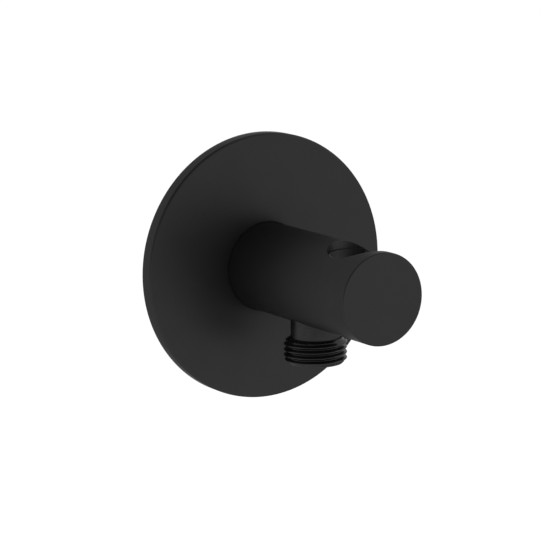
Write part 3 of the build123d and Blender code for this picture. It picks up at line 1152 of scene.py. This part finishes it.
@dataclass
class NonReturnValve(SubAssembly):
    """Valve in the wall nipple: housing, guide, poppet with its seal, and the spring."""

    coil_radius: float = 2 * MM
    wire_radius: float = 0.2 * MM
    turns: float = 5.5
    closed_turns: float = 0.8
    closed_turn_share: float = 0.4 / 7.36
    points_per_turn: int = 24
    lift: float = 3 * MM

    def spring(self) -> None:
        """Builds the coil spring with closed end turns, as a swept wire."""
        lowest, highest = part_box("valve_spring")
        back = -lowest[1] - self.wire_radius
        front = -highest[1] + self.wire_radius
        count = int(self.turns * self.points_per_turn)
        curve = bpy.data.curves.new("closing_spring", "CURVE")
        curve.dimensions = "3D"
        curve.bevel_depth = self.wire_radius
        curve.bevel_resolution = 3
        curve.use_fill_caps = True
        line = curve.splines.new("POLY")
        line.points.add(count)
        for index in range(count + 1):
            turn = index / self.points_per_turn
            depth = front + (back - front) * self.climb(turn)
            angle = turn * math.tau
            across, up = self.coil_radius * math.cos(angle), self.coil_radius * math.sin(angle)
            line.points[index].co = (across, -depth, up, 1)
        swept = bpy.data.objects.new("spring_sweep", curve)
        data = bpy.data.meshes.new_from_object(swept)
        bpy.data.objects.remove(swept)
        mesh = bmesh.new()
        mesh.from_mesh(data)
        bpy.data.meshes.remove(data)
        spring = solid(mesh, "closing_spring")
        self.seat(spring, "valve_spring", Slot.SPRING_STEEL)
        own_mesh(spring)

    def climb(self, turn: float) -> float:
        """Share of the spring's length gained at a turn: little over the closed ends, even between them.

        Args:
            turn: turns from the spring's start.

        Returns:
            The share, from 0 to 1.
        """
        closed_share = self.closed_turns * self.closed_turn_share
        open_turn_share = (1 - 2 * closed_share) / (self.turns - 2 * self.closed_turns)
        if turn < self.closed_turns:
            return turn * self.closed_turn_share
        if turn > self.turns - self.closed_turns:
            return 1 - (self.turns - turn) * self.closed_turn_share
        return closed_share + (turn - self.closed_turns) * open_turn_share

    def build(self) -> None:
        """Builds and dresses the pieces."""
        for node, slot in (
            ("valve_housing", Slot.VALVE_PLASTIC), ("valve_guide", Slot.VALVE_PLASTIC),
            ("valve_poppet", Slot.POPPET_PLASTIC), ("valve_lip_seal", Slot.SEAL_RUBBER),
            ("valve_o_ring", Slot.SEAL_RUBBER),
        ):
            self.keep(node, slot)
        self.spring()


@dataclass
class Studio:
    """Plain white surroundings, a pale floor, a soft lamp and the camera."""

    target: Triple = (4.296 * MM, 0.0, -2.561 * MM)
    side_angle: float = 31.308
    height_angle: float = 10.545
    roll: float = -0.465
    distance: float = 0.9006
    focal_pixels: float = 2659.5
    photo_pixels: int = 540
    shift_pixels: float = 0.3
    sensor: float = 36.0
    nearest: float = 0.05
    farthest: float = 30.0
    surround: float = 0.94
    dark_towards: Triple = (-0.43, -0.49, 0.757)
    dark_level: float = 0.1
    dark_inner_angle: float = 32
    dark_outer_angle: float = 72
    floor_height: float = -0.3
    floor_size: float = 14.0
    floor_tone: float = 0.86
    floor_seen_level: float = 1.02
    lamp_place: Triple = (1.2, -0.5, 0.8)
    lamp_size: float = 0.6
    lamp_power: float = 1.6

    def camera(self) -> None:
        """Sets the camera where the photograph was taken from."""
        side, height, roll = (math.radians(angle) for angle in (self.side_angle, self.height_angle, self.roll))
        towards = Vector((
            -math.sin(side) * math.cos(height), -math.cos(side) * math.cos(height), math.sin(height)
        ))
        level_right = Vector((math.cos(side), -math.sin(side), 0))
        level_up = towards.cross(level_right)
        right = math.cos(roll) * level_right + math.sin(roll) * level_up
        up = math.cos(roll) * level_up - math.sin(roll) * level_right
        data = bpy.data.cameras.new("photo_camera")
        data.sensor_width = self.sensor
        data.lens = self.focal_pixels * self.sensor / self.photo_pixels
        data.shift_x = -self.shift_pixels / self.photo_pixels
        data.clip_start, data.clip_end = self.nearest, self.farthest
        camera = bpy.data.objects.new("photo_camera", data)
        turned = Matrix((right, up, towards)).transposed().to_4x4()
        camera.matrix_world = Matrix.Translation(Vector(self.target) + self.distance * towards) @ turned
        bpy.context.scene.collection.objects.link(camera)
        bpy.context.scene.camera = camera

    def surroundings(self) -> None:
        """Even white light from all around, and for glosses a room that is dark up in front on the left."""
        world = bpy.data.worlds.new("white_surround")
        world.use_nodes = True
        bpy.context.scene.world = world
        nodes = Nodes(world.node_tree)
        light = nodes.ramp(nodes.seen_by("Glossy"), self.surround, self.dark_zone(nodes))
        level = nodes.ramp(nodes.seen_by("Camera", "Transmission"), light, 1.0)
        nodes.feed(world.node_tree.nodes["Background"], {"Color": WHITE, "Strength": level})

    def dark_zone(self, nodes: Nodes) -> Socket:
        """Level of the surroundings by direction, low towards the dark part of the room.

        Args:
            nodes: the world's nodes.

        Returns:
            The level, from 0 to 1.
        """
        direction = nodes.add("TexCoord").outputs["Generated"]
        towards = Vector(self.dark_towards).normalized()
        nearness = nodes.add("VectorMath", {0: direction, 1: towards}, operation="DOT_PRODUCT").outputs["Value"]
        outer, inner = (math.cos(math.radians(angle)) for angle in (self.dark_outer_angle, self.dark_inner_angle))
        return nodes.ramp(nearness, 1.0, self.dark_level, outer, inner, interpolation_type="SMOOTHSTEP")

    def floor(self) -> None:
        """Pale floor below the object, seen from above only, that keeps the object's shadow."""
        half = self.floor_size / 2
        corners = [(x, y, self.floor_height) for x, y in ((-half, -half), (half, -half), (half, half), (-half, half))]
        data = bpy.data.meshes.new("studio_floor")
        data.from_pydata(corners, [], [(0, 1, 2, 3)])
        data.materials.append(self.floor_finish())
        floor = bpy.data.objects.new("studio_floor", data)
        bpy.context.scene.collection.objects.link(floor)

    def floor_finish(self) -> bpy.types.Material:
        """Matt pale floor that reads as white where no shadow falls on it.

        Returns:
            The floor's material.
        """
        material = bpy.data.materials.new("pale_floor")
        material.use_nodes = True
        material.node_tree.nodes.clear()
        nodes = Nodes(material.node_tree)
        seen_lift = self.floor_seen_level - self.floor_tone * self.surround
        lift = nodes.ramp(nodes.seen_by("Camera", "Glossy", "Transmission"), 0.0, seen_lift)
        matt = nodes.add("BsdfDiffuse", {"Color": (*(self.floor_tone,) * 3, 1)})
        glow = nodes.add("Emission", {"Color": WHITE, "Strength": lift})
        both = nodes.add("AddShader", {0: matt.outputs[0], 1: glow.outputs[0]})
        clear = nodes.add("BsdfTransparent")
        under = nodes.add("NewGeometry").outputs["Backfacing"]
        one_sided = nodes.add("MixShader", {0: under, 1: both.outputs[0], 2: clear.outputs[0]})
        nodes.add("OutputMaterial", {"Surface": one_sided.outputs[0]})
        return material

    def lamp(self) -> None:
        """Adds a large soft lamp on the right, which faces the object."""
        data = bpy.data.lights.new("soft_lamp_right", "AREA")
        data.size = self.lamp_size
        data.energy = self.lamp_power
        lamp = bpy.data.objects.new("soft_lamp_right", data)
        lamp.location = self.lamp_place
        lamp.rotation_euler = Vector(self.lamp_place).to_track_quat("Z", "Y").to_euler()
        bpy.context.scene.collection.objects.link(lamp)

    def build(self) -> None:
        """Builds the studio."""
        self.camera()
        self.surroundings()
        self.floor()
        self.lamp()
        bpy.context.scene.view_settings.view_transform = "Standard"
        log.info("studio built")


def main() -> None:
    """Builds the fitting and the studio, piece by piece."""
    logging.basicConfig(level=logging.INFO, format="%(name)s: %(message)s")
    paint = Paint()
    for sub_assembly in (WallRose, Arm, HoseNipple, WallNipple, NonReturnValve):
        sub_assembly(paint).build()
    Studio().build()


if __name__ == "__main__":
    main()
